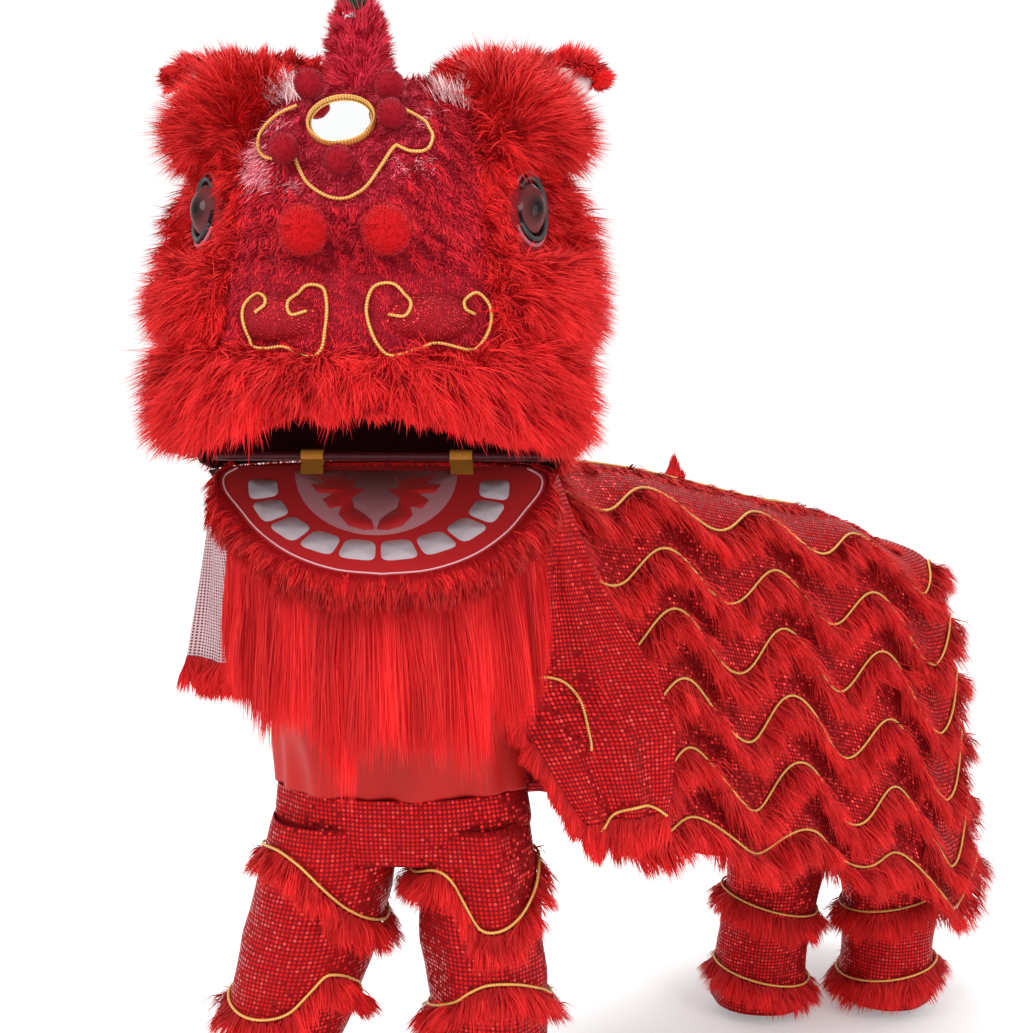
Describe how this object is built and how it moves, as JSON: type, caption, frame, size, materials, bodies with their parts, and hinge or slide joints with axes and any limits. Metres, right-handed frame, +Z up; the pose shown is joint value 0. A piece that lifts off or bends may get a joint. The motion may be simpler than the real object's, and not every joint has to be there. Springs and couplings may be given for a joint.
{
  "type": "lion dance costume",
  "caption": "Two-person Southern lion dance costume in red: furry head with hinged jaw and beard, long cape with wavy fur rows, shoulder wings and fringed trousers for both dancers",
  "frame": {"origin": "Middle of the hand bar in the mouth, where the front dancer's hands hold the head", "axes": "-Y is the way the lion's face looks, +X the lion's left, +Z up; the cape runs back and to the lion's left"},
  "size_m": [1.6393, 1.7429, 2.051],
  "materials": {
    "fur": "long synthetic fur",
    "plush": "short crimson plush",
    "sequin": "sequin cloth",
    "satin": "plain satin",
    "shell": "paper and cane shell, cloth covered",
    "gold": "gold trim",
    "mirror": "polished glass",
    "white": "white and silver cloth",
    "amber": "amber tape",
    "wood": "painted",
    "board": "padded cloth board",
    "eye": "painted ball",
    "glitter": "glitter cloth"
  },
  "bodies": {
    "costume": {"head_shell": "shell", "brow_fur_left": "fur", "cheek_fur_left": "fur", "brow_fur_right": "fur", "cheek_fur_right": "fur", "lip_fur": "fur", "crown_fur": "fur", "neck_fur": "fur", "face_plush": "plush", "mirror": "mirror", "mirror_ring": "gold", "nose_pad_left": "sequin", "eye_left": "eye", "nose_pad_right": "sequin", "eye_right": "eye", "pompom_small_1": "plush", "pompom_small_2": "plush", "pompom_small_3": "plush", "pompom_small_4": "plush", "pompom_small_5": "plush", "pompom_big_left": "plush", "pompom_big_right": "plush", "horn": "plush", "ear_fur_left": "fur", "ear_left": "white", "ear_fur_right": "fur", "ear_right": "white", "hand_bar": "wood", "cape": "sequin", "cape_fringe_1": "fur", "cape_fringe_2": "fur", "cape_fringe_3": "fur", "cape_fringe_4": "fur", "cape_fringe_5": "fur", "cape_fringe_6": "fur", "spine_band": "glitter", "spine_fin": "fur", "front_waist": "satin", "front_trousers": "sequin", "rear_trousers": "sequin", "front_leg_fringe_left_1": "fur", "front_leg_fringe_left_2": "fur", "front_leg_fringe_left_3": "fur", "rear_leg_fringe_left_1": "fur", "rear_leg_fringe_left_2": "fur", "front_leg_fringe_right_1": "fur", "front_leg_fringe_right_2": "fur", "front_leg_fringe_right_3": "fur", "rear_leg_fringe_right_1": "fur", "rear_leg_fringe_right_2": "fur", "wing_left": "sequin", "wing_fringe_left": "fur", "wing_right": "sequin", "wing_fringe_right": "fur"},
    "jaw": {"jaw_board": "board", "jaw_fur": "fur", "beard": "fur", "jaw_loop_left": "amber", "jaw_loop_right": "amber"}
  },
  "joints": [
    {"name": "jaw_hinge", "type": "hinge", "parent": "costume", "child": "jaw", "pos_m": [0, 0, 0], "axis": [-1, 0, 0], "range_deg": [0, 28]}
  ]
}
